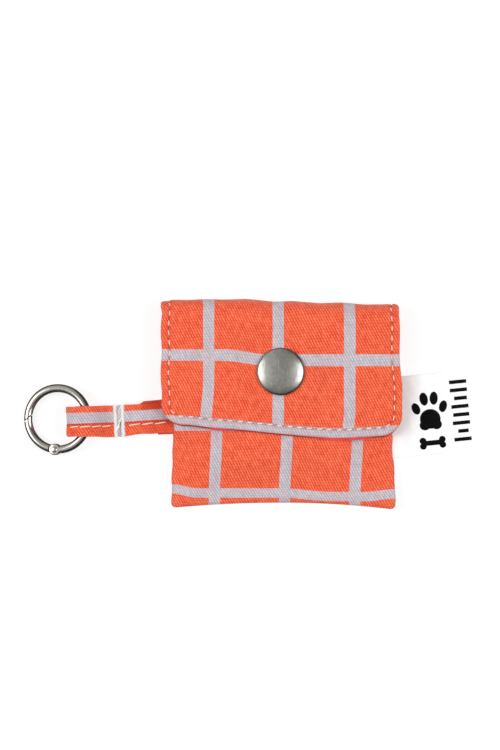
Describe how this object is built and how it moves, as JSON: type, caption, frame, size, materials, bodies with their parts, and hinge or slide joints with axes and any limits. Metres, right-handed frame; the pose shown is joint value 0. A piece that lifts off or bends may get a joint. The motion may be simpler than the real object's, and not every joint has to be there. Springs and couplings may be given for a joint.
{
  "type": "treat pouch",
  "caption": "Small flat fabric pouch for dog treats with a snap flap, a spring-gate ring on a side strap and a folded side label.",
  "frame": {"origin": "middle of the pouch's flat back, on the surface it lies on", "axes": "+X along the pouch towards the label, +Y towards the flap's fold, +Z out of the front"},
  "size_m": [0.1501, 0.0701, 0.0167],
  "materials": {
    "orange_twill": "matt cotton twill, orange with lilac-grey window checks",
    "coral_lining": "matt plain-weave lining",
    "interlining": "felted interlining",
    "cream_thread": "twisted sewing thread",
    "satin_snap_metal": "satin nickel",
    "spring_steel": "drawn wire",
    "polished_nickel": "polished nickel plate",
    "white_satin": "white woven satin"
  },
  "bodies": {
    "pocket": {"back_panel_outer": "orange_twill", "back_lining": "coral_lining", "front_lining": "coral_lining", "front_interlining": "interlining", "front_panel_outer": "orange_twill", "side_seam_thread_left": "cream_thread", "side_seam_thread_right": "cream_thread", "bottom_seam_thread": "cream_thread", "mouth_thread": "cream_thread", "flap_tail_outer": "orange_twill", "flap_tail_lining": "coral_lining", "snap_stud": "satin_snap_metal", "snap_post": "satin_snap_metal", "strap_root": "orange_twill", "label_root": "white_satin"},
    "flap": {"flap_outer": "orange_twill", "flap_interlining": "interlining", "flap_lining": "coral_lining", "flap_thread": "cream_thread", "snap_cap": "satin_snap_metal", "snap_socket": "satin_snap_metal", "snap_spring_left": "spring_steel", "snap_spring_right": "spring_steel"},
    "strap": {"strap": "orange_twill", "strap_thread_root_side": "cream_thread", "strap_thread_loop": "cream_thread", "strap_bartack": "cream_thread"},
    "ring": {"ring_body": "polished_nickel", "gate_rivet": "polished_nickel", "gate_spring": "spring_steel"},
    "gate": {"ring_gate": "polished_nickel"},
    "label": {"label": "white_satin"}
  },
  "joints": [
    {"name": "flap_hinge", "type": "hinge", "parent": "pocket", "child": "flap", "pos_m": [0, 0.03445, 0.0046], "axis": [-1, 0, 0], "range_deg": [0, 165]},
    {"name": "strap_hinge", "type": "hinge", "parent": "pocket", "child": "strap", "pos_m": [-0.043, -0.0046, 0.0047], "axis": [-0.0452, 0.999, 0], "range_deg": [0, 90]},
    {"name": "ring_swing", "type": "hinge", "parent": "strap", "child": "ring", "pos_m": [-0.06583, -0.00453, 0.0054], "axis": [-0.0452, 0.999, 0], "range_deg": [0, 120]},
    {"name": "gate_open", "type": "hinge", "parent": "ring", "child": "gate", "pos_m": [-0.07585, -0.01515, 0.00321], "axis": [0.2039, 0.0092, -0.979], "range_deg": [0, 35], "stiffness_Nm_per_rad": 0.02, "springref_deg": -22.92},
    {"name": "label_hinge", "type": "hinge", "parent": "pocket", "child": "label", "pos_m": [0.0429, -0.004, 0.0041], "axis": [0.0958, -0.9954, 0], "range_deg": [0, 80]}
  ]
}
